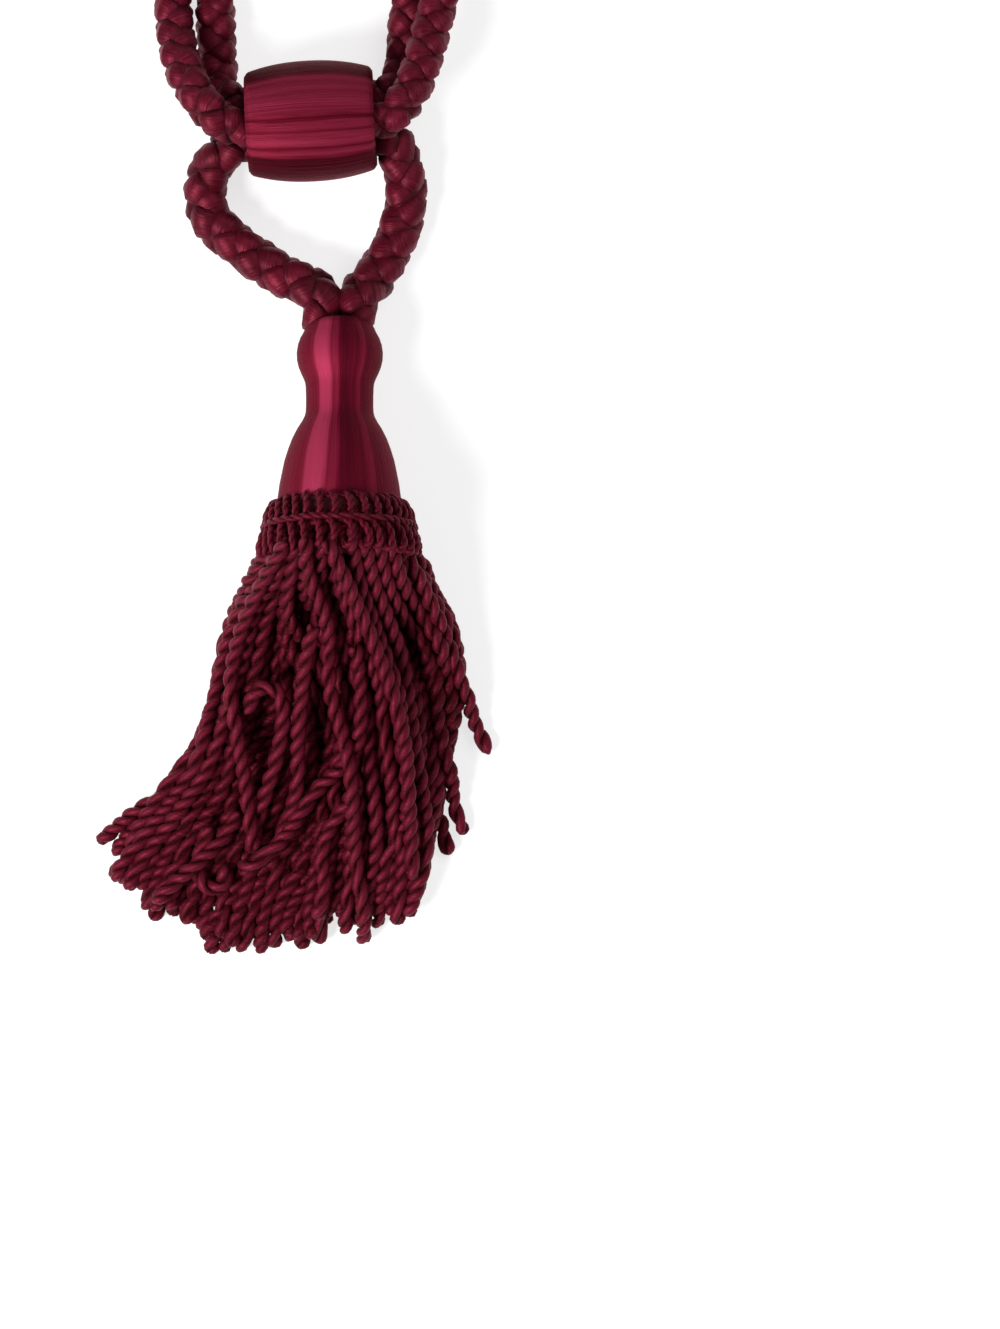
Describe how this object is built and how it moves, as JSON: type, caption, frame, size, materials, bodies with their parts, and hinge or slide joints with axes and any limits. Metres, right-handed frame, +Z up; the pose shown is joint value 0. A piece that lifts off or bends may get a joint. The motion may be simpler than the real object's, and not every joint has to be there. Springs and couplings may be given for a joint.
{
  "type": "curtain tieback tassel",
  "caption": "Satin rope curtain tieback with a barrel slide, a turned thread-wrapped tassel head, a looped ruff and a bullion fringe skirt, lying flat.",
  "frame": {"origin": "on the surface that the tieback lies on, under the middle of the box that holds the barrel, the tassel and its skirt, without the ropes", "axes": "+Z up from the surface, +Y from the tassel towards the barrel and the rope's eyes, +X to the right as seen from above"},
  "size_m": [0.1225, 0.4701, 0.0491],
  "materials": {
    "satin_rope": "satin",
    "wrapped_thread": "satin",
    "looped_gimp": "matte",
    "bullion_fringe": "matte"
  },
  "bodies": {
    "root": {"embrace_rope": "satin_rope", "tassel_loop_rope": "satin_rope", "barrel": "wrapped_thread", "tassel_head": "wrapped_thread", "ruff_upper": "looped_gimp", "ruff_lower": "looped_gimp", "skirt": "bullion_fringe"}
  },
  "joints": []
}
